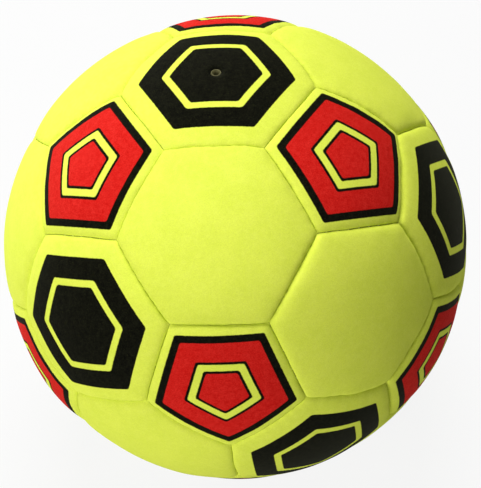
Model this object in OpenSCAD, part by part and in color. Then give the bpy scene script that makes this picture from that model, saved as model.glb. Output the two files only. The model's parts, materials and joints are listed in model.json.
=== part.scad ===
// Felt indoor football: sewn panels over textile backings and an inflated rubber bladder.
// The origin is the middle of the ball and the valve points along +Z.

/* [Ball] */
// Circumference of the pumped-up ball, over the middles of its panels
girth = 690; // [580:1:720]

/* [Felt panels] */
// Thickness of the felt
felt_t = 2.4; // [1.8:0.1:3.2]
// How far a panel's swell falls from its middle to the middle of its seams
panel_fall = 1.1; // [0.6:0.1:1.8]
// Radius of the rounding where a panel turns down into its seam
roll_r = 6; // [5:0.25:8]
// Width of that rounding
roll_w = 4.5; // [3:0.25:4.75]
// Gap between the two panels in a seam
seam_gap = 0.3; // [0.1:0.05:0.6]
// Thickness of the edge that is turned in for sewing
fold_t = 1.8; // [1.2:0.1:2.4]
// How far the turned-in edge reaches below the felt
fold_depth = 3.4; // [2.6:0.1:5]

/* [Backings] */
// Gap left for the glue between a backing and its panel
backing_gap = 0.15; // [0.05:0.05:0.3]

/* [Stitching] */
// Thickness of the thread through a stitch hole
thread_d = 0.8; // [0.5:0.1:1.2]
// Width of the doubled thread that runs along the fold
run_w = 1.2; // [1:0.1:1.6]
// Thickness of that run
run_t = 0.8; // [0.5:0.1:1]
// Distance from one stitch to the next
stitch_pitch = 5.4; // [4:0.2:9]
// Least distance from the last stitch to a panel's corner
corner_margin = 4.5; // [4:0.25:8]
// Play around the thread in its hole and beside its run
thread_gap = 0.1; // [0.05:0.05:0.2]

/* [Bladder] */
// Thickness of the bladder's rubber
bladder_t = 1; // [0.6:0.1:2]
// Gap between the bladder and what it presses on
bladder_gap = 0.3; // [0.1:0.1:0.5]

/* [Valve] */
// Diameter of the pump needle's channel
needle_d = 2.2; // [1.8:0.1:2.6]
// Diameter of the funnel at the mouth of the valve
mouth_d = 3.6; // [3.2:0.1:4]
// Diameter of the valve core's nose, seen in the felt
nose_d = 4.6; // [4.4:0.1:5.4]
// How deep the nose lies below the felt's surface
nose_sink = 0.6; // [0.2:0.1:1.5]
// Diameter of the valve's neck
neck_d = 9; // [8.5:0.5:12]
// Length of the neck inside the bladder
neck_depth = 9; // [7:0.5:14]
// Diameter of the valve's flange
flange_d = 27; // [20:1:40]
// Thickness of the flange
flange_t = 1.6; // [1:0.1:2.5]
// Diameter of the valve core below its nose
core_d = 5.6; // [5.4:0.1:6.4]
// Diameter of the collar at the core's inner end
collar_d = 7.6; // [6.6:0.1:8.4]
// Thickness of that collar
collar_t = 1.2; // [0.8:0.1:2]
// Play around the valve's pieces
valve_gap = 0.2; // [0.1:0.05:0.3]

/* [Hidden] */
$fn = 72;
// How far a cut reaches past the surface that it cuts
over = 1;

// The panel pattern: edges of a solid whose 32 flat faces have sides of length 1
solid_r = sqrt(58 + 18 * sqrt(5)) / 4;
seam_half_angle = asin(1 / (2 * solid_r));
roll_angle = 3 * seam_half_angle;
function corner_r(sides) = 1 / (2 * sin(180 / sides));
function side_r(sides) = 1 / (2 * tan(180 / sides));
// Angle at the ball's centre, from a panel's middle to the middle of its side
function side_angle(sides) = atan(side_r(sides) / sqrt(pow(solid_r, 2) - pow(corner_r(sides), 2)));

// Radii from the ball's centre
ball_r = girth / (2 * PI);
seam_r = ball_r - panel_fall;
fold_end_r = seam_r - felt_t - fold_depth;
stitch_r = seam_r - felt_t - fold_depth / 2;
bladder_r = fold_end_r - bladder_gap;
bladder_in_r = bladder_r - bladder_t;

// Distances from the seam's plane
fold_face = seam_gap / 2 + fold_t;
run_middle = fold_face + thread_gap + run_t / 2;
backing_face = run_middle + run_t / 2 + thread_gap;

// Angles of the stitches along a seam
stitch_step = stitch_pitch / stitch_r * 180 / PI;
stitch_reach = seam_half_angle - corner_margin / stitch_r * 180 / PI;
stitch_pairs = floor(stitch_reach / stitch_step);
stitch_angles = [for (k = [-stitch_pairs:stitch_pairs]) k * stitch_step];
run_angle = 2 * stitch_pairs * stitch_step + 2 * run_w / stitch_r * 180 / PI;

// The valve's places along +Z
felt_in_z = ball_r - felt_t;
nose_top_z = ball_r - nose_sink;
shoulder_z = felt_in_z - valve_gap;
neck_end_z = bladder_in_r - valve_gap - flange_t - neck_depth;
core_end_z = neck_end_z - valve_gap - collar_t;
flange_r = bladder_in_r - valve_gap;
// The mouth's funnel widens by 1 mm for each mm of height
funnel_h = mouth_d - needle_d;

// Rings of three panels, or three pairs, around the valve's axis: name, angle from +Z, turn of the first
crown_pentagon_tilt = acos(sqrt((5 + 2 * sqrt(5)) / 15));
upper_pentagon_tilt = acos(sqrt((5 - 2 * sqrt(5)) / 15));
crown_hexagon_tilt = acos(sqrt(5) / 3);
upper_hexagon_tilt = acos(1 / 3);
pair_turn = acos((3 + sqrt(5)) / sqrt(32));
front = -90;
back = 90;
PENTAGON_RINGS = [
    ["crown", crown_pentagon_tilt, back],
    ["upper", upper_pentagon_tilt, front],
    ["lower", 180 - upper_pentagon_tilt, back],
    ["foot", 180 - crown_pentagon_tilt, front],
];
HEXAGON_RINGS = [
    ["crown", crown_hexagon_tilt, front],
    ["foot", 180 - crown_hexagon_tilt, back],
];
PAIRED_HEXAGON_RINGS = [
    ["upper", upper_hexagon_tilt, back],
    ["lower", 180 - upper_hexagon_tilt, front],
];
function on_ball(tilt, turn) = [sin(tilt) * cos(turn), sin(tilt) * sin(turn), cos(tilt)];

// Each panel: name, sides, direction of its middle
PENTAGONS = [
    for (ring = PENTAGON_RINGS)
        for (k = [0:2])
            [str(ring[0], "_pentagon_", k + 1), 5, on_ball(ring[1], ring[2] + 120 * k)]
];
HEXAGONS = concat(
    [["valve_hexagon", 6, [0, 0, 1]], ["base_hexagon", 6, [0, 0, -1]]],
    [
        for (ring = HEXAGON_RINGS)
            for (k = [0:2])
                [str(ring[0], "_hexagon_", k + 1), 6, on_ball(ring[1], ring[2] + 120 * k)]
    ],
    [
        for (ring = PAIRED_HEXAGON_RINGS)
            for (k = [0:5])
                let (turn = ring[2] + 120 * floor(k / 2) + (k % 2 == 0 ? -pair_turn : pair_turn))
                    [str(ring[0], "_hexagon_", k + 1), 6, on_ball(ring[1], turn)]
    ]
);
PANELS = concat(HEXAGONS, PENTAGONS);

// Two panels share a seam where their middles are as far apart as their two side angles
function angle_between(a, b) = acos(a * b);
function neighbours(a, b) = abs(angle_between(a[2], b[2]) - side_angle(a[1]) - side_angle(b[1])) < 1;
function unit(v) = v / norm(v);
// Axes of a panel: z through its middle, x towards the middle of one of its seams
function panel_axes(panel) =
    let (z = panel[2])
    let (near = [for (p = HEXAGONS) if (p != panel && neighbours(panel, p)) p[2]][0])
    let (x = unit(near - (near * z) * z))
        [x, cross(z, x), z];
// Axes of a seam: x through its middle, y along it, z across it
function seam_axes(a, b) =
    let (y = unit(cross(a[2], b[2])))
    let (x = unit(a[2] * sin(side_angle(b[1])) + b[2] * sin(side_angle(a[1]))))
        [x, y, cross(x, y)];
HEXAGON_SEAMS = [
    for (i = [0:len(HEXAGONS) - 2])
        for (j = [i + 1:len(HEXAGONS) - 1])
            if (neighbours(HEXAGONS[i], HEXAGONS[j])) seam_axes(HEXAGONS[i], HEXAGONS[j])
];
PENTAGON_SEAMS = [
    for (p = PENTAGONS)
        for (h = HEXAGONS)
            if (neighbours(p, h)) seam_axes(p, h)
];

// Puts a piece that is made around +Z, or a seam made around +X, in its place
module place(axes) {
    multmatrix([for (row = [0:2]) [axes[0][row], axes[1][row], axes[2][row], 0]]) children();
}

// Pyramid from the ball's centre through a panel's seams, moved in from them by inset
module wedge(sides, inset) {
    angle = side_angle(sides);
    height = ball_r + 10 * over;
    translate([0, 0, inset / sin(angle)])
        rotate([0, 0, 180 / sides])
            cylinder(h = height, r1 = 0, r2 = height * tan(angle) / cos(180 / sides), $fn = sides);
}

// The swell: a ball smaller than the whole one, which touches it at the panel's middle
function swell_shift(sides) =
    (pow(ball_r, 2) - pow(seam_r, 2)) / (2 * (ball_r - seam_r * cos(side_angle(sides))));
module swell(sides, inset) {
    shift = swell_shift(sides);
    translate([0, 0, shift]) sphere(r = ball_r - shift - inset);
}
// Height of the swell over the seam's axis, at a distance from the seam's plane
function swell_height(sides, distance) =
    let (shift = swell_shift(sides))
    let (angle = side_angle(sides))
        shift * cos(angle)
            + sqrt(pow(ball_r - shift, 2) - pow(distance - shift * sin(angle), 2));

// Puts a seam's shapes, made with z across the seam, on each side of a panel
module on_sides(sides) {
    for (k = [0:sides - 1])
        rotate([0, 0, k * 360 / sides])
            rotate([0, side_angle(sides) - 90, 0])
                children();
}

// What the rounding takes off along one seam: the corner outside a circle, turned about the seam's axis
module roll_cut(sides) {
    rise = 0.3;
    middle = swell_height(sides, roll_w) + rise - roll_r;
    rotate([0, 0, -roll_angle / 2])
        rotate_extrude(angle = roll_angle)
            difference() {
                translate([middle, -over]) square([ball_r + over - middle, roll_w + over]);
                translate([middle, roll_w]) circle(r = roll_r);
            }
}

module at_stitches() {
    for (angle = stitch_angles)
        rotate([0, 0, angle])
            translate([stitch_r, 0, 0])
                children();
}

module stitch_holes(sides) {
    on_sides(sides)
        at_stitches()
            translate([0, 0, -over]) cylinder(d = thread_d + 2 * thread_gap, h = fold_face + 2 * over);
}

// Felt panel: swollen face, edges rolled over and turned in, stitch holes in the turned-in edge
module felt_panel(sides) {
    color([0.87, 0.92, 0.22])
        difference() {
            intersection() {
                swell(sides, 0);
                wedge(sides, seam_gap / 2);
            }
            on_sides(sides) roll_cut(sides);
            intersection() {
                swell(sides, felt_t);
                wedge(sides, fold_face);
            }
            sphere(r = fold_end_r);
            stitch_holes(sides);
        }
}

module valve_hexagon() {
    difference() {
        felt_panel(6);
        cylinder(d = nose_d + 2 * valve_gap, h = ball_r + over);
    }
}

// Backing: lies in the tray that the felt and its turned-in edge make
module backing(sides, hole_d = 0) {
    color([0.86, 0.83, 0.74])
        difference() {
            intersection() {
                swell(sides, felt_t + backing_gap);
                wedge(sides, backing_face);
            }
            sphere(r = fold_end_r);
            if (hole_d > 0) cylinder(d = hole_d, h = ball_r);
        }
}

module valve_backing() {
    place(panel_axes(PANELS[0])) backing(6, neck_d + 2 * valve_gap);
}

module backings(panels) {
    for (panel = panels)
        place(panel_axes(panel)) backing(panel[1]);
}

// Thread of one seam: stitches through both folds, tied by a doubled run along each of them
module seam_thread() {
    color([0.93, 0.92, 0.86]) {
        at_stitches() cylinder(d = thread_d, h = 2 * run_middle, center = true);
        for (side = [-1, 1])
            translate([0, 0, side * run_middle])
                rotate([0, 0, -run_angle / 2])
                    rotate_extrude(angle = run_angle)
                        translate([stitch_r, 0]) square([run_w, run_t], center = true);
    }
}

module seam_threads(seams) {
    for (axes = seams)
        place(axes) seam_thread();
}

module bladder() {
    color([0.16, 0.16, 0.17])
        difference() {
            sphere(r = bladder_r);
            sphere(r = bladder_in_r);
            cylinder(d = neck_d + 2 * valve_gap, h = ball_r);
        }
}

// Valve body: sleeve through backing and bladder, with a flange that is bonded inside the bladder
module valve_body() {
    color([0.2, 0.2, 0.19])
        difference() {
            union() {
                translate([0, 0, neck_end_z]) cylinder(d = neck_d, h = shoulder_z - neck_end_z);
                intersection() {
                    difference() {
                        sphere(r = flange_r);
                        sphere(r = flange_r - flange_t);
                    }
                    cylinder(d = flange_d, h = ball_r);
                }
            }
            cylinder(d = core_d + valve_gap, h = ball_r);
        }
}

// Valve core: soft plug with the needle's channel, held by its collar under the sleeve and by the felt
module valve_core() {
    color([0.62, 0.6, 0.36])
        difference() {
            union() {
                translate([0, 0, core_end_z]) cylinder(d = collar_d, h = collar_t);
                translate([0, 0, core_end_z]) cylinder(d = core_d, h = shoulder_z - core_end_z);
                translate([0, 0, core_end_z]) cylinder(d = nose_d, h = nose_top_z - core_end_z);
            }
            cylinder(d = needle_d, h = ball_r);
            translate([0, 0, nose_top_z - funnel_h - over])
                cylinder(d1 = needle_d - over, d2 = mouth_d + over, h = funnel_h + 2 * over);
        }
}

for (panel = PANELS)
    place(panel_axes(panel)) {
            if (panel[0] == "valve_hexagon") valve_hexagon();
            else felt_panel(panel[1]);
        }
valve_backing();
backings([for (k = [1:len(HEXAGONS) - 1]) HEXAGONS[k]]);  // hexagon_backings
backings(PENTAGONS);  // pentagon_backings
seam_threads(HEXAGON_SEAMS);  // hexagon_seam_threads
seam_threads(PENTAGON_SEAMS);  // pentagon_seam_threads
bladder();
valve_body();
valve_core();
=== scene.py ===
"""Looks of a felt indoor football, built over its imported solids.

Shapes are worked out in millimetres, in the part's own frame, and become metres when their meshes are made.
"""

import json
import math
from collections import namedtuple

import bpy
import numpy as np
from mathutils import Matrix, Vector


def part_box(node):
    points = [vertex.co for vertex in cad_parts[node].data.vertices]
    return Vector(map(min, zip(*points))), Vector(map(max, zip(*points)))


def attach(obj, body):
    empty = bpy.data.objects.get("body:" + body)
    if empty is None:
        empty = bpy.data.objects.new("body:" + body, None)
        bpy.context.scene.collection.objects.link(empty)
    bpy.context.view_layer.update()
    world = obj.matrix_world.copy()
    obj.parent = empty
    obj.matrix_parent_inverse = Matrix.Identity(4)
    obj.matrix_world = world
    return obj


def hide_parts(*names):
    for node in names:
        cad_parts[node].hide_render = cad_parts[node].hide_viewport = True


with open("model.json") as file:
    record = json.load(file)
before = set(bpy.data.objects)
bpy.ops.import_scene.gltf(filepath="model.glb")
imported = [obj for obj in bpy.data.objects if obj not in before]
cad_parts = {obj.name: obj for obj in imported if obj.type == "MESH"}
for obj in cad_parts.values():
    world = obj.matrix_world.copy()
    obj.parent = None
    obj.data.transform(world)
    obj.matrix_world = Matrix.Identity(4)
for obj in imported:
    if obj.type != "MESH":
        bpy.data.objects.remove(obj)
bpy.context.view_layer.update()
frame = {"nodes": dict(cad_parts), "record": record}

# Sizes of the ball in millimetres, as in the part's source
MM = 0.001
MOUNTS = {mount["name"]: mount for mount in frame["record"]["mounts"]}
BALL_R = -MOUNTS["ground_contact"]["pos_m"][2] / MM
FELT_T = 2.4
PANEL_FALL = 1.1
FOLD_T = 1.8
FOLD_DEPTH = 3.4
STITCH_PITCH = 5.4
SEAM_R = BALL_R - PANEL_FALL
FOLD_END_R = SEAM_R - FELT_T - FOLD_DEPTH

# How the blown-up felt swells and falls towards a seam, in millimetres: each fall fades over its reach
SEAM_GAP = 0.2
SWELL_FALL = 0.6
EDGE_FALL = 1.15
EDGE_REACH = 0.9
PILLOW_FALL = 0.75
PILLOW_REACH = 3.5
CORNER_BLEND = 0.9
PUCKER_FALL = 0.26
PUCKER_REACH = 2.2
PUCKER_END = 20.0

# Unevenness of the sewn cover in millimetres: it shifts sideways, it rises, and its panels' edges bulge
WAVES = 14
WOBBLE = 0.32
WOBBLE_LENGTHS = (9.0, 70.0)
WOBBLE_SEED = 32
RISE = 0.3
RISE_LENGTHS = (32.0, 110.0)
RISE_SEED = 33
BULGE = 0.3
BULGE_LENGTHS = (9.0, 26.0)
BULGE_REACH = 7.0
STILL_AROUND_VALVE = 14.0

# How much deeper or shallower than usual the seams run, as a share, over lengths in millimetres
SEAM_DEPTH_SHARE = 0.5
SEAM_DEPTH_LIMIT = 0.6
SEAM_DEPTH_LENGTHS = (30.0, 110.0)
SEAM_DEPTH_SEED = 322

# Rows of points on a panel's face, crowded towards its seam, down into its seam, and on its underside
FACE_ROWS = 46
CROWDING = 1.5
SKIRT_SHARES = (0.1, 0.25, 0.5, 1.0)
UNDER_ROWS = 8

# Rows at the valve's hole on the face and on the underside, and the power by which they leave its circle
HOLE_FACE_ROW = 8
HOLE_UNDER_ROW = 2
HOLE_EASE = 3

# The valve core and its hole in the felt, in millimetres
VALVE_GAP = 0.2
NOSE_R = 2.3
MOUTH_R = 1.8
NEEDLE_R = MOUNTS["needle_channel"]["dims"]["r_mm"]
FUNNEL_STEEPNESS = 2.0
CORE_R = 2.8
COLLAR_T = 1.2
LIP = 0.25
HOLE_RIM_W = 1.1
HOLE_RIM_R = 1.3

# The printed polygons: distance of each edge from the panel's middle, from the outside in, and its colour
PENTAGON_PRINT = [
    (28.2, "black"), (24.6, "red"), (15.3, "black"), (14.0, "felt"), (10.8, "black"), (9.5, "red"),
]
HEXAGON_PRINT = [(32.0, "black"), (21.5, "felt"), (18.3, "black")]
PRINTED_HEXAGONS = {
    "valve_hexagon", "upper_hexagon_2", "upper_hexagon_4", "upper_hexagon_6",
    "base_hexagon", "lower_hexagon_2", "lower_hexagon_4", "lower_hexagon_6",
}

# The print's corners, the softness, raggedness and grain of its edges in millimetres, and its thinnest cover
PRINT_CORNER = 1.6
PRINT_EDGE = 0.22
PRINT_RAGGED = 0.45
PRINT_GRAIN = 1.1
PRINT_COVER = 0.97

# Grain of the materials in millimetres, and the mottle's share in the felt's nap
CLOUD_GRAIN = 13.0
MOTTLE_GRAIN = 2.2
FIBRE_GRAIN = 0.45
THREAD_GRAIN = 0.5
BLOOM_GRAIN = 1.4
RUBBER_GRAIN = 0.3
NAP_MOTTLE = 0.6

# The cloth's weave, as a wave texture takes it: threads about 0.8 mm apart
WEAVE_SCALE = 380.0
WEAVE_DISTORTION = 1.5

# How rough each rubber is, and how much more or less so its bloom makes it
CORE_ROUGHNESS = 0.6
VALVE_ROUGHNESS = 0.6
BLADDER_ROUGHNESS = 0.5
BLOOM_ROUGHNESS = 0.08

# Colours, most of them as the two shades between which they vary
FELT_DEEP = (0.70, 0.80, 0.075, 1)
FELT_YELLOW = (0.74, 0.83, 0.085, 1)
FELT_PALE = (0.80, 0.88, 0.13, 1)
FELT_SHEEN = (0.95, 1.0, 0.6, 1)
# Each ink's two shades are mixed by the nap: grain, and painted light that makes the ink lighter on the high
# fibres
INKS = {
    "black": [(0.0002, 0.0002, 0.0001, 1), (0.0090, 0.0094, 0.0046, 1)],
    "red": [(0.54, 0.006, 0.004, 1), (0.68, 0.024, 0.018, 1)],
}
CLOTH_SHADES = [(0.5, 0.46, 0.36, 1), (0.72, 0.68, 0.56, 1)]
THREAD_SHADES = [(0.66, 0.63, 0.52, 1), (0.85, 0.83, 0.74, 1)]
CORE_SHADES = [(0.075, 0.069, 0.025, 1), (0.13, 0.121, 0.047, 1)]
VALVE_SHADES = [(0.03, 0.03, 0.03, 1), (0.07, 0.07, 0.065, 1)]
BLADDER_SHADES = [(0.02, 0.02, 0.02, 1), (0.045, 0.045, 0.045, 1)]
FLOOR_GREY = (0.6, 0.6, 0.6, 1)
WHITE = (1, 1, 1, 1)

# The photograph's camera: its place round the ball in degrees, its distance in ball radii, its frame
CAMERA_AZIMUTH = 6.53
CAMERA_ELEVATION = 45.03
CAMERA_ROLL = -6.42
CAMERA_DISTANCE = 8.866
CAMERA_LENS = 150.97
CAMERA_SHIFT = (0.0101, 0.0073)


# The panel pattern

SOLID_R = math.sqrt(58 + 18 * math.sqrt(5)) / 4
CROWN_PENTAGON_TILT = math.acos(math.sqrt((5 + 2 * math.sqrt(5)) / 15))
UPPER_PENTAGON_TILT = math.acos(math.sqrt((5 - 2 * math.sqrt(5)) / 15))
CROWN_HEXAGON_TILT = math.acos(math.sqrt(5) / 3)
UPPER_HEXAGON_TILT = math.acos(1 / 3)
PAIR_TURN = math.acos((3 + math.sqrt(5)) / math.sqrt(32))
FRONT = math.radians(-90)
BACK = math.radians(90)
THIRD = math.radians(120)
SAME_PLACE = 0.01


def side_angle(sides):
    """Angle at the ball's centre, from a panel's middle to the middle of its side."""
    corner_r = 1 / (2 * math.sin(math.pi / sides))
    side_r = 1 / (2 * math.tan(math.pi / sides))
    return math.atan(side_r / math.sqrt(SOLID_R**2 - corner_r**2))


def on_ball(tilt, turn):
    """Direction at an angle from +Z and a turn around it."""
    return np.array([math.sin(tilt) * math.cos(turn), math.sin(tilt) * math.sin(turn), math.cos(tilt)])


def three(name, tilt, first):
    """Three panels, spread evenly round the valve's axis."""
    return {f"{name}_{k + 1}": on_ball(tilt, first + THIRD * k) for k in range(3)}


def three_pairs(name, tilt, first):
    """Three pairs of panels, spread evenly round the valve's axis."""
    turns = [first + THIRD * k + side * PAIR_TURN for k in range(3) for side in (-1, 1)]
    return {f"{name}_{k + 1}": on_ball(tilt, turn) for k, turn in enumerate(turns)}


PENTAGONS = {
    **three("crown_pentagon", CROWN_PENTAGON_TILT, BACK),
    **three("upper_pentagon", UPPER_PENTAGON_TILT, FRONT),
    **three("lower_pentagon", math.pi - UPPER_PENTAGON_TILT, BACK),
    **three("foot_pentagon", math.pi - CROWN_PENTAGON_TILT, FRONT),
}
HEXAGONS = {
    "valve_hexagon": on_ball(0, 0),
    "base_hexagon": on_ball(math.pi, 0),
    **three("crown_hexagon", CROWN_HEXAGON_TILT, FRONT),
    **three("foot_hexagon", math.pi - CROWN_HEXAGON_TILT, BACK),
    **three_pairs("upper_hexagon", UPPER_HEXAGON_TILT, BACK),
    **three_pairs("lower_hexagon", math.pi - UPPER_HEXAGON_TILT, FRONT),
}


def panel_axes(sides, middle):
    """Axes of a panel as rows: z through its middle, x towards the middle of one of its sides."""
    apart = math.cos(side_angle(sides) + side_angle(6))
    near = next(hexagon for hexagon in HEXAGONS.values() if abs(hexagon @ middle - apart) < SAME_PLACE)
    x = near - (near @ middle) * middle
    x /= np.linalg.norm(x)
    return np.array([x, np.cross(middle, x), middle])


# Shape of the felt

def unit_rows(vectors):
    """The vectors, one to a row, with their lengths made 1."""
    return vectors / np.linalg.norm(vectors, axis=1, keepdims=True)


def swell_radius(sides, direction):
    """Radius of a panel's swell: a ball smaller than the whole, which touches it at the panel's middle."""
    edge_r = BALL_R - SWELL_FALL
    shift = (BALL_R**2 - edge_r**2) / (2 * (BALL_R - edge_r * math.cos(side_angle(sides))))
    height = shift * direction[:, 2]
    return height + np.sqrt((BALL_R - shift) ** 2 - shift**2 + height**2)


def seam_places(sides, direction):
    """Distance of each point from each seam of its panel, and its place along that seam."""
    angle = side_angle(sides)
    turn = 2 * np.pi * np.arange(sides) / sides
    level = np.zeros(sides)
    across = np.array([
        -math.cos(angle) * np.cos(turn),
        -math.cos(angle) * np.sin(turn),
        level + math.sin(angle),
    ])
    along = np.array([-np.sin(turn), np.cos(turn), level])
    middle = np.array([
        math.sin(angle) * np.cos(turn),
        math.sin(angle) * np.sin(turn),
        level + math.cos(angle),
    ])
    distance = BALL_R * np.arcsin(np.clip(direction @ across, -1, 1))
    place = BALL_R * np.arctan2(direction @ along, direction @ middle)
    return distance, place


def nearest_seam(distance):
    """Distance from the nearest seam, eased where two of them meet."""
    return np.clip(-CORNER_BLEND * np.log(np.exp(-distance / CORNER_BLEND).sum(axis=1)), 0, None)


def seam_fall(from_seam):
    """How far the felt falls towards a seam: its rolled edge, and the wider pillow round it."""
    return EDGE_FALL * np.exp(-from_seam / EDGE_REACH) + PILLOW_FALL * np.exp(-from_seam / PILLOW_REACH)


def felt_radius(sides, direction):
    """Radius of the felt's face: swollen, rolled down into the seams and drawn in by each stitch."""
    distance, place = seam_places(sides, direction)
    stitch = 0.5 + 0.5 * np.cos(2 * np.pi * place / STITCH_PITCH)
    stitch *= np.exp(-distance / PUCKER_REACH) * (np.abs(place) < PUCKER_END)
    fall = seam_fall(nearest_seam(distance)) + PUCKER_FALL * stitch.sum(axis=1)
    return swell_radius(sides, direction) - fall


def rim_fall(from_hole):
    """How far the felt falls at its rounded rim round the valve's hole."""
    inside = np.clip(HOLE_RIM_W - np.clip(from_hole, 0, None), 0, HOLE_RIM_W)
    return HOLE_RIM_R - np.sqrt(HOLE_RIM_R**2 - inside**2)


class Waves:
    """Smooth unevenness in space: a sum of waves, whose lengths run from the shortest to the longest."""

    def __init__(self, seed, lengths, size):
        draw = np.random.default_rng(seed)
        lengths = np.geomspace(*lengths, WAVES)
        sizes = np.sqrt(lengths / lengths.mean()) * size / math.sqrt(WAVES / 2)
        self.vectors = unit_rows(draw.normal(size=(WAVES, 3))) * (2 * np.pi / lengths)[:, None]
        self.phases = draw.uniform(0, 2 * np.pi, WAVES)
        self.shifts = unit_rows(draw.normal(size=(WAVES, 3))) * sizes[:, None]

    def shift(self, points):
        """How far each point moves, as a vector."""
        return np.sin(points @ self.vectors.T + self.phases) @ self.shifts

    def height(self, points):
        """How far each point rises, as one number."""
        return self.shift(points)[:, 0]


def deeper_fall(points, from_seam):
    """How much further the felt falls where a seam runs deeper than usual, with the fold's end in place."""
    share = Waves(SEAM_DEPTH_SEED, SEAM_DEPTH_LENGTHS, SEAM_DEPTH_SHARE).height(points)
    share = np.clip(share, -SEAM_DEPTH_LIMIT, SEAM_DEPTH_LIMIT)
    above_fold = (np.linalg.norm(points, axis=1) - FOLD_END_R) / (SEAM_R - FOLD_END_R)
    return seam_fall(from_seam) * share * np.clip(above_fold, 0, 1)


def uneven(points, from_seam, seed):
    """The points of a panel in its place, moved with the uneven cover and bulged along its own edge."""
    up = unit_rows(points)
    from_valve = np.linalg.norm(points - [0, 0, BALL_R], axis=1)
    fade = 1 - np.exp(-((from_valve / STILL_AROUND_VALVE) ** 2))
    shift = Waves(WOBBLE_SEED, WOBBLE_LENGTHS, WOBBLE).shift(points)
    sideways = shift - (shift * up).sum(axis=1, keepdims=True) * up
    rise = Waves(RISE_SEED, RISE_LENGTHS, RISE).height(points)
    edge = np.exp(-from_seam / BULGE_REACH) * (1 - np.exp(-from_seam / EDGE_REACH))
    bulge = Waves(seed, BULGE_LENGTHS, BULGE).height(points) * edge
    height = rise * fade + bulge - deeper_fall(points, from_seam)
    return points + sideways * fade[:, None] + up * height[:, None]


# Panel meshes

# A ring of points round a panel's middle: its steps to a side, its points in the plane at 1 above the ball's
# centre, their distances from that centre, and their places in the print
Ring = namedtuple("Ring", ["steps", "flat", "radius", "printed"])


def polygon(sides, steps):
    """Points round a polygon whose sides lie at 1 from its middle, with that many steps to a side."""
    if steps == 0:
        return np.zeros((1, 2))
    turn = np.pi * (2 * np.arange(sides + 1) - 1) / sides
    corners = np.column_stack([np.cos(turn), np.sin(turn)]) / math.cos(math.pi / sides)
    share = np.arange(steps)[:, None] / steps
    return np.concatenate([a + (b - a) * share for a, b in zip(corners[:-1], corners[1:])])


def hole_polygon(sides, steps, share):
    """The same points, moved to the circle inside the polygon at the hole, and less so away from it."""
    points = polygon(sides, steps)
    radius = np.linalg.norm(points, axis=1, keepdims=True)
    return points * (1 + (1 - share) ** HOLE_EASE * (1 / radius - 1))


def directions(flat):
    """Directions through points of the plane that lies at 1 above the ball's centre."""
    return unit_rows(np.column_stack([flat, np.ones(len(flat))]))


def flat_places(points):
    """Where lines from the ball's centre through the points meet the plane at 1 above it."""
    return points[:, :2] / points[:, 2:]


def face_rings(sides, hole, edge):
    """Rings of the felt's face, from the panel's middle or its hole to the brink of its seam."""
    first = HOLE_FACE_ROW if hole else 0
    rings = []
    for row in range(first, FACE_ROWS + 1):
        share = 1 - (1 - (row - first) / (FACE_ROWS - first)) ** CROWDING
        outline = hole_polygon(sides, row, share) if hole else polygon(sides, row)
        flat = outline * (hole + (edge - hole) * share)
        radius = felt_radius(sides, directions(flat))
        if hole:
            radius = radius - rim_fall(BALL_R * (np.linalg.norm(flat, axis=1) - hole))
        rings.append(Ring(row, flat, radius, flat))
    return rings


def skirt_rings(brink):
    """Rings of the felt that turns in at the seam, from the brink to the fold's end."""
    radii = [brink.radius + (FOLD_END_R - brink.radius) * share for share in SKIRT_SHARES]
    return [brink._replace(radius=radius) for radius in radii]


def under_rings(sides, hole, fold, edge):
    """Rings of the fold's end, and of the underside from the fold to the panel's middle or its hole."""
    outline = polygon(sides, UNDER_ROWS)
    fold_end = np.full(len(outline), FOLD_END_R)
    rings = [Ring(UNDER_ROWS, outline * fold, fold_end, outline * edge)]
    last = HOLE_UNDER_ROW if hole else 0
    for row in range(UNDER_ROWS, last - 1, -1):
        share = (row - last) / (UNDER_ROWS - last)
        outline = hole_polygon(sides, row, share) if hole else polygon(sides, row)
        flat = outline * (hole + (fold - hole) * share)
        radius = swell_radius(sides, directions(flat)) - FELT_T
        rings.append(Ring(row, flat, radius, np.tile([0.0, edge], (len(flat), 1))))
    return rings


def panel_rings(sides, hole_r):
    """Rings of a closed panel: its face, the felt turned in at its seam, and its underside."""
    angle = side_angle(sides)
    hole = hole_r / BALL_R
    edge = math.tan(angle - SEAM_GAP / 2 / BALL_R)
    fold = math.tan(angle - (SEAM_GAP / 2 + FOLD_T) / BALL_R)
    face = face_rings(sides, hole, edge)
    return face + skirt_rings(face[-1]) + under_rings(sides, hole, fold, edge)


def ring_triangles(sides, first_a, steps_a, first_b, steps_b):
    """Triangles that join two rings of points around a panel, whatever their steps to a side."""
    count_a = max(1, sides * steps_a)
    count_b = max(1, sides * steps_b)
    triangles = []
    for side in range(sides):
        a = 0
        b = 0
        while a < steps_a or b < steps_b:
            at_a = first_a + (side * steps_a + a) % count_a
            at_b = first_b + (side * steps_b + b) % count_b
            if b == steps_b or (a < steps_a and (2 * a + 1) * steps_b <= (2 * b + 1) * steps_a):
                a += 1
                triangles.append((at_a, first_a + (side * steps_a + a) % count_a, at_b))
            else:
                b += 1
                triangles.append((at_a, first_b + (side * steps_b + b) % count_b, at_b))
    return triangles


def outward(points, triangles):
    """The triangles, turned so that they face out of the closed shape."""
    a, b, c = (points[triangles[:, k]] for k in range(3))
    volume = (np.cross(a, b) * c).sum()
    return triangles if volume > 0 else triangles[:, ::-1]


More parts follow.
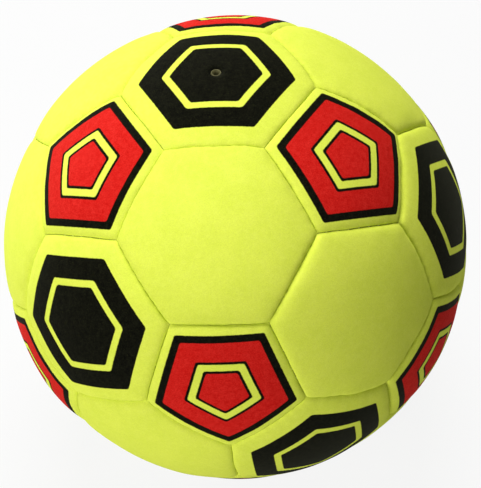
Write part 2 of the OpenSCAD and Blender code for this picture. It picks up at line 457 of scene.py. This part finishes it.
def panel_shape(sides, hole_r=0):
    """Points around +Z, triangles and printed places of a closed felt panel, with a round hole or none."""
    rings = panel_rings(sides, hole_r)
    firsts = np.cumsum([0] + [len(ring.flat) for ring in rings])
    points = np.concatenate([directions(ring.flat) * ring.radius[:, None] for ring in rings])
    printed = np.concatenate([ring.printed for ring in rings]) * BALL_R
    pairs = list(zip(range(len(rings) - 1), range(1, len(rings))))
    if hole_r:
        pairs.append((len(rings) - 1, 0))
    triangles = []
    for a, b in pairs:
        triangles += ring_triangles(sides, firsts[a], rings[a].steps, firsts[b], rings[b].steps)
    return points, outward(points, np.array(triangles)), printed


def new_piece(name, points, faces, material):
    """Adds a smooth mesh, given in millimetres, that rides on the part's one body."""
    mesh = bpy.data.meshes.new(name)
    mesh.from_pydata((points * MM).tolist(), [], [list(map(int, face)) for face in faces])
    mesh.shade_smooth()
    mesh.materials.append(material)
    piece = bpy.data.objects.new(name, mesh)
    bpy.context.scene.collection.objects.link(piece)
    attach(piece, "root")
    return piece


def add_panel(node, sides, middle, shape, material, seed):
    """One felt panel in its place on the ball, with its printed places for the material to read."""
    points, triangles, printed = shape
    axes = panel_axes(sides, middle)
    from_seam = nearest_seam(seam_places(sides, unit_rows(points))[0])
    placed = uneven(points @ axes, from_seam, seed)
    piece = new_piece("felt_" + node, placed, triangles, material)
    places = piece.data.attributes.new("printed", "FLOAT_VECTOR", "POINT")
    straight = printed + (flat_places(placed @ axes.T) - flat_places(points)) * BALL_R
    flat = np.column_stack([straight, np.zeros(len(straight))])
    places.data.foreach_set("vector", flat.astype(np.float32).ravel())
    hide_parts(node)


# Materials

class Nodes:
    """Short calls for one material's nodes."""

    def __init__(self, name):
        self.material = bpy.data.materials.new(name)
        self.material.use_nodes = True
        self.tree = self.material.node_tree
        self.shader = self.tree.nodes["Principled BSDF"]

    def node(self, kind, inputs=None, **settings):
        """A new node, with links or values for its inputs."""
        made = self.tree.nodes.new("ShaderNode" + kind)
        for name, value in settings.items():
            setattr(made, name, value)
        for name, value in (inputs or {}).items():
            self.put(made.inputs[name], value)
        return made

    def put(self, socket, value):
        """Links a socket to an output, or sets its value."""
        if isinstance(value, bpy.types.NodeSocket):
            self.tree.links.new(value, socket)
        else:
            socket.default_value = value

    def math(self, operation, *values):
        """The result of an operation on links or values."""
        return self.node("Math", dict(enumerate(values)), operation=operation).outputs[0]

    def noise(self, where, grain, detail=2.0, rough=0.5):
        """Noise with a grain in millimetres, where the place is in metres."""
        inputs = {"Vector": where, "Scale": 1 / (grain * MM), "Detail": detail, "Roughness": rough}
        return self.node("TexNoise", inputs).outputs["Fac"]

    def ramp(self, value, low, high, to_low=0.0, to_high=1.0):
        """A value between two limits, eased into a value between two others."""
        inputs = {0: value, 1: low, 2: high, 3: to_low, 4: to_high}
        return self.node("MapRange", inputs, interpolation_type="SMOOTHSTEP").outputs[0]

    def mix(self, share, a, b):
        """Colour a, with a share of colour b."""
        made = self.node("Mix", data_type="RGBA")
        for name, value in (("Factor_Float", share), ("A_Color", a), ("B_Color", b)):
            self.put(next(s for s in made.inputs if s.identifier == name), value)
        return next(s for s in made.outputs if s.identifier == "Result_Color")

    def darken(self, colour, share):
        """A colour with its brightness multiplied."""
        return self.node("HueSaturation", {"Color": colour, "Value": share}).outputs[0]

    def object_place(self):
        """The place of a point on its own piece, in metres."""
        return self.node("TexCoord").outputs["Object"]

    def bump(self, height, distance, strength):
        """A surface roughened by a height, over a distance in millimetres."""
        inputs = {"Height": height, "Distance": distance * MM, "Strength": strength}
        return self.node("Bump", inputs).outputs["Normal"]

    def finish(self, inputs):
        """The material, with its shader's inputs set."""
        for name, value in inputs.items():
            self.put(self.shader.inputs[name], value)
        return self.material


def polygon_distance(n, place, sides):
    """Distance from a panel's middle in steps that follow its sides, with eased corners."""
    parts = n.node("SeparateXYZ", {0: place}).outputs
    reach = None
    for k in range(sides):
        turn = 2 * math.pi * k / sides
        east = n.math("MULTIPLY", parts[0], math.cos(turn))
        side = n.math("MULTIPLY_ADD", parts[1], math.sin(turn), east)
        reach = side if reach is None else n.math("SMOOTH_MAX", reach, side, PRINT_CORNER)
    return reach


def printed_colour(n, felt, place, fibres, nap, sides, print_edges):
    """The felt's colour under its printed polygons, whose edges are ragged and whose inks follow the nap:
    grain, and painted light that lightens each ink where the nap stands high.
    """
    printed = n.node("Attribute", attribute_name="printed").outputs["Vector"]
    ragged = n.math("SUBTRACT", n.noise(place, PRINT_GRAIN, detail=3, rough=0.65), 0.5)
    reach = n.math("MULTIPLY_ADD", ragged, PRINT_RAGGED, polygon_distance(n, printed, sides))
    cover = n.ramp(fibres, low=0.60, high=0.78, to_low=1.0, to_high=PRINT_COVER)
    colour = felt
    for edge, ink in print_edges:
        inside = n.ramp(reach, edge + PRINT_EDGE, edge - PRINT_EDGE)
        if ink == "felt":
            colour = n.mix(inside, colour, felt)
        else:
            # Painted light and grain: each ink is lighter where the fibres stand high and darker in the
            # painted shade of the hollows between them
            ink_grain_and_painted_light = n.mix(n.ramp(nap, low=0.55, high=1.1), *INKS[ink])
            colour = n.mix(n.math("MULTIPLY", inside, cover), colour, ink_grain_and_painted_light)
    return colour


def felt_material(name, sides=0, print_edges=()):
    """Short-napped felt: mottled colour, fine fibres, and a print where its edges are given."""
    n = Nodes(name)
    place = n.object_place()
    clouds = n.noise(place, CLOUD_GRAIN, detail=3)
    mottle = n.noise(place, MOTTLE_GRAIN, detail=4, rough=0.6)
    fibres = n.noise(place, FIBRE_GRAIN, detail=3, rough=0.7)
    nap = n.math("MULTIPLY_ADD", mottle, NAP_MOTTLE, fibres)
    colour = n.mix(n.ramp(clouds, low=0.3, high=0.7), FELT_DEEP, FELT_YELLOW)
    colour = n.mix(n.ramp(mottle, low=0.35, high=0.75, to_high=0.35), colour, FELT_PALE)
    if print_edges:
        colour = printed_colour(n, colour, place, fibres, nap, sides, print_edges)
    colour = n.darken(colour, n.ramp(fibres, low=0.25, high=0.75, to_low=0.9, to_high=1.06))
    return n.finish({
        "Base Color": colour,
        "Roughness": 0.92,
        "Specular IOR Level": 0.03,
        "Sheen Weight": 0.02,
        "Sheen Roughness": 0.5,
        "Sheen Tint": FELT_SHEEN,
        "Normal": n.bump(nap, distance=0.22, strength=0.55),
    })


def cloth_material():
    """Plain woven backing cloth."""
    n = Nodes("backing_cloth")
    inputs = {"Vector": n.object_place(), "Scale": WEAVE_SCALE, "Distortion": WEAVE_DISTORTION}
    weave = n.node("TexWave", inputs).outputs["Fac"]
    cross = n.node("TexWave", inputs, bands_direction="Z").outputs["Fac"]
    height = n.math("MAXIMUM", weave, cross)
    colour = n.mix(height, *CLOTH_SHADES)
    surface = n.bump(height, distance=0.15, strength=0.6)
    return n.finish({"Base Color": colour, "Roughness": 0.9, "Normal": surface})


def thread_material():
    """Waxed sewing thread, faintly mottled by its fibres."""
    n = Nodes("seam_thread")
    fibres = n.noise(n.object_place(), THREAD_GRAIN, detail=3)
    colour = n.mix(fibres, *THREAD_SHADES)
    surface = n.bump(fibres, distance=0.1, strength=0.5)
    return n.finish({"Base Color": colour, "Roughness": 0.55, "Normal": surface})


def rubber_material(name, shades, roughness):
    """Dull moulded rubber with a dusty bloom."""
    n = Nodes(name)
    place = n.object_place()
    bloom = n.noise(place, BLOOM_GRAIN, detail=4, rough=0.6)
    smoothest = roughness - BLOOM_ROUGHNESS
    roughest = roughness + BLOOM_ROUGHNESS
    return n.finish({
        "Base Color": n.mix(n.ramp(bloom, low=0.3, high=0.75), *shades),
        "Roughness": n.ramp(bloom, low=0.2, high=0.8, to_low=smoothest, to_high=roughest),
        "Specular IOR Level": 0.2,
        "Normal": n.bump(n.noise(place, RUBBER_GRAIN), distance=0.05, strength=0.4),
    })


# The valve

def arc(middle, radius, start, end, steps=4):
    """Points of an arc in the plane of a turned profile, in degrees from its radial direction."""
    turns = np.radians(np.linspace(start, end, steps + 1))
    return [(middle[0] + radius * math.cos(turn), middle[1] + radius * math.sin(turn)) for turn in turns]


def turned(profile, steps=48):
    """Points and faces of a closed profile turned about the Z axis."""
    radius, height = np.array(profile).T
    rows = len(profile)
    turns = 2 * np.pi * np.arange(steps) / steps
    points = np.concatenate([
        np.column_stack([radius * math.cos(turn), radius * math.sin(turn), height]) for turn in turns
    ])
    faces = []
    for step in range(steps):
        here = step * rows
        there = (step + 1) % steps * rows
        for row in range(rows):
            after = (row + 1) % rows
            faces.append((here + row, there + row, there + after, here + after))
    return points, faces


def core_profile():
    """Half section of the valve core: funnel, rolled lip of its nose, shoulder, collar below the sleeve."""
    low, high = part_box("valve_core")
    end = low.z / MM
    top = high.z / MM
    collar_r = high.x / MM
    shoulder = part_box("valve_body")[1].z / MM
    funnel = top - FUNNEL_STEEPNESS * (MOUTH_R - NEEDLE_R)
    return [
        (NEEDLE_R, end),
        (NEEDLE_R, funnel),
        *arc((MOUTH_R + LIP, top - LIP), LIP, 160, 90),
        *arc((NOSE_R - LIP, top - LIP), LIP, 80, 0),
        *arc((NOSE_R + LIP, shoulder + LIP), LIP, 180, 270),
        *arc((CORE_R - LIP, shoulder - LIP), LIP, 80, 0),
        *arc((CORE_R + LIP, end + COLLAR_T + LIP), LIP, 180, 270),
        *arc((collar_r - LIP, end + COLLAR_T - LIP), LIP, 90, 0),
        *arc((collar_r - LIP, end + LIP), LIP, 0, -90),
    ]


def add_valve_core(material):
    """The soft core in the valve's sleeve, whose nose shows in the felt."""
    points, faces = turned(core_profile())
    core = new_piece("valve_plug", points, faces, material)
    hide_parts("valve_core")


# The stage: camera, floor, light

def towards(azimuth, elevation):
    """Direction from the ball, turned from its front and raised from the floor by angles in degrees."""
    turn = math.radians(azimuth)
    rise = math.radians(elevation)
    return Vector((math.sin(turn) * math.cos(rise), -math.cos(turn) * math.cos(rise), math.sin(rise)))


def add_camera():
    """The photograph's camera, which looks towards the middle of the ball."""
    away = towards(CAMERA_AZIMUTH, CAMERA_ELEVATION)
    level = towards(CAMERA_AZIMUTH + 90, 0)
    roll = math.radians(CAMERA_ROLL)
    right = level * math.cos(roll) + away.cross(level) * math.sin(roll)
    camera = bpy.data.objects.new("camera", bpy.data.cameras.new("camera"))
    camera.matrix_world = Matrix((right, away.cross(right), away)).transposed().to_4x4()
    camera.location = away * CAMERA_DISTANCE * BALL_R * MM
    camera.data.lens = CAMERA_LENS
    camera.data.shift_x, camera.data.shift_y = CAMERA_SHIFT
    bpy.context.scene.collection.objects.link(camera)
    bpy.context.scene.camera = camera


def show_white(tree, surface, white, output, share):
    """Shows a share of white over a surface where it is seen straight, mirrored or through glass."""
    path = tree.nodes.new("ShaderNodeLightPath")
    seen = path.outputs["Is Camera Ray"]
    for name in ("Is Glossy Ray", "Is Transmission Ray"):
        either = tree.nodes.new("ShaderNodeMath")
        either.operation = "MAXIMUM"
        tree.links.new(seen, either.inputs[0])
        tree.links.new(path.outputs[name], either.inputs[1])
        seen = either.outputs[0]
    weakened = tree.nodes.new("ShaderNodeMath")
    weakened.operation = "MULTIPLY"
    weakened.inputs[1].default_value = share
    tree.links.new(seen, weakened.inputs[0])
    mix = tree.nodes.new("ShaderNodeMixShader")
    tree.links.new(weakened.outputs[0], mix.inputs[0])
    tree.links.new(surface.outputs[0], mix.inputs[1])
    tree.links.new(white.outputs[0], mix.inputs[2])
    tree.links.new(mix.outputs[0], output.inputs["Surface"])


def floor_material(own_white):
    """Pale paper that is whitened by a share where it is seen, so that it still shows a shadow."""
    material = bpy.data.materials.new("floor")
    material.use_nodes = True
    tree = material.node_tree
    paper = tree.nodes["Principled BSDF"]
    paper.inputs["Base Color"].default_value = FLOOR_GREY
    paper.inputs["Roughness"].default_value = 1.0
    paper.inputs["Specular IOR Level"].default_value = 0.0
    white = tree.nodes.new("ShaderNodeEmission")
    show_white(tree, paper, white, tree.nodes["Material Output"], own_white)
    return material


def add_floor(half_width, own_white):
    """A square floor under the ball, of a half width in metres."""
    corners = [(-1, -1), (1, -1), (1, 1), (-1, 1)]
    points = [(x * half_width, y * half_width, -BALL_R * MM) for x, y in corners]
    mesh = bpy.data.meshes.new("floor")
    mesh.from_pydata(points, [], [(0, 1, 2, 3)])
    mesh.materials.append(floor_material(own_white))
    floor = bpy.data.objects.new("floor", mesh)
    bpy.context.scene.collection.objects.link(floor)


def add_world(ambient):
    """White surroundings where they are seen, and a faint even light from them."""
    world = bpy.data.worlds.new("studio")
    world.use_nodes = True
    tree = world.node_tree
    dim = tree.nodes["Background"]
    dim.inputs["Color"].default_value = WHITE
    dim.inputs["Strength"].default_value = ambient
    white = tree.nodes.new("ShaderNodeBackground")
    white.inputs["Color"].default_value = WHITE
    show_white(tree, dim, white, tree.nodes["World Output"], share=1.0)
    bpy.context.scene.world = world


def add_softbox(name, azimuth, elevation, distance, width, watts):
    """A square lamp that faces the ball, with its distance and width in metres."""
    lamp = bpy.data.lights.new(name, "AREA")
    lamp.size = width
    lamp.energy = watts
    away = towards(azimuth, elevation)
    box = bpy.data.objects.new(name, lamp)
    box.location = away * distance
    box.rotation_euler = away.to_track_quat("Z", "Y").to_euler()
    bpy.context.scene.collection.objects.link(box)


# The ball

plain_felt = felt_material("felt_plain")
pentagon_felt = felt_material("felt_pentagon", 5, PENTAGON_PRINT)
hexagon_felt = felt_material("felt_hexagon", 6, HEXAGON_PRINT)
pentagon_shape = panel_shape(5)
hexagon_shape = panel_shape(6)
valve_hexagon_shape = panel_shape(6, NOSE_R + VALVE_GAP)
for seed, (node, middle) in enumerate(PENTAGONS.items()):
    add_panel(node, 5, middle, pentagon_shape, pentagon_felt, seed)
for seed, (node, middle) in enumerate(HEXAGONS.items(), len(PENTAGONS)):
    shape = valve_hexagon_shape if node == "valve_hexagon" else hexagon_shape
    material = hexagon_felt if node in PRINTED_HEXAGONS else plain_felt
    add_panel(node, 6, middle, shape, material, seed)
add_valve_core(rubber_material("core_rubber", CORE_SHADES, CORE_ROUGHNESS))

INNER_MATERIALS = {
    cloth_material(): ("valve_backing", "hexagon_backings", "pentagon_backings"),
    thread_material(): ("hexagon_seam_threads", "pentagon_seam_threads"),
    rubber_material("bladder_rubber", BLADDER_SHADES, BLADDER_ROUGHNESS): ("bladder",),
    rubber_material("valve_rubber", VALVE_SHADES, VALVE_ROUGHNESS): ("valve_body",),
}
for material, nodes in INNER_MATERIALS.items():
    for node in nodes:
        frame["nodes"][node].data.materials.clear()
        frame["nodes"][node].data.materials.append(material)

add_camera()
add_floor(half_width=8.0, own_white=0.88)
add_world(ambient=0.06)
add_softbox("front", azimuth=-33, elevation=20, distance=1.5, width=0.8, watts=15)
add_softbox("left", azimuth=-135, elevation=9, distance=1.5, width=0.5, watts=11.5)
add_softbox("top", azimuth=-178, elevation=73, distance=1.5, width=0.9, watts=26)
bpy.context.scene.view_settings.view_transform = "Standard"
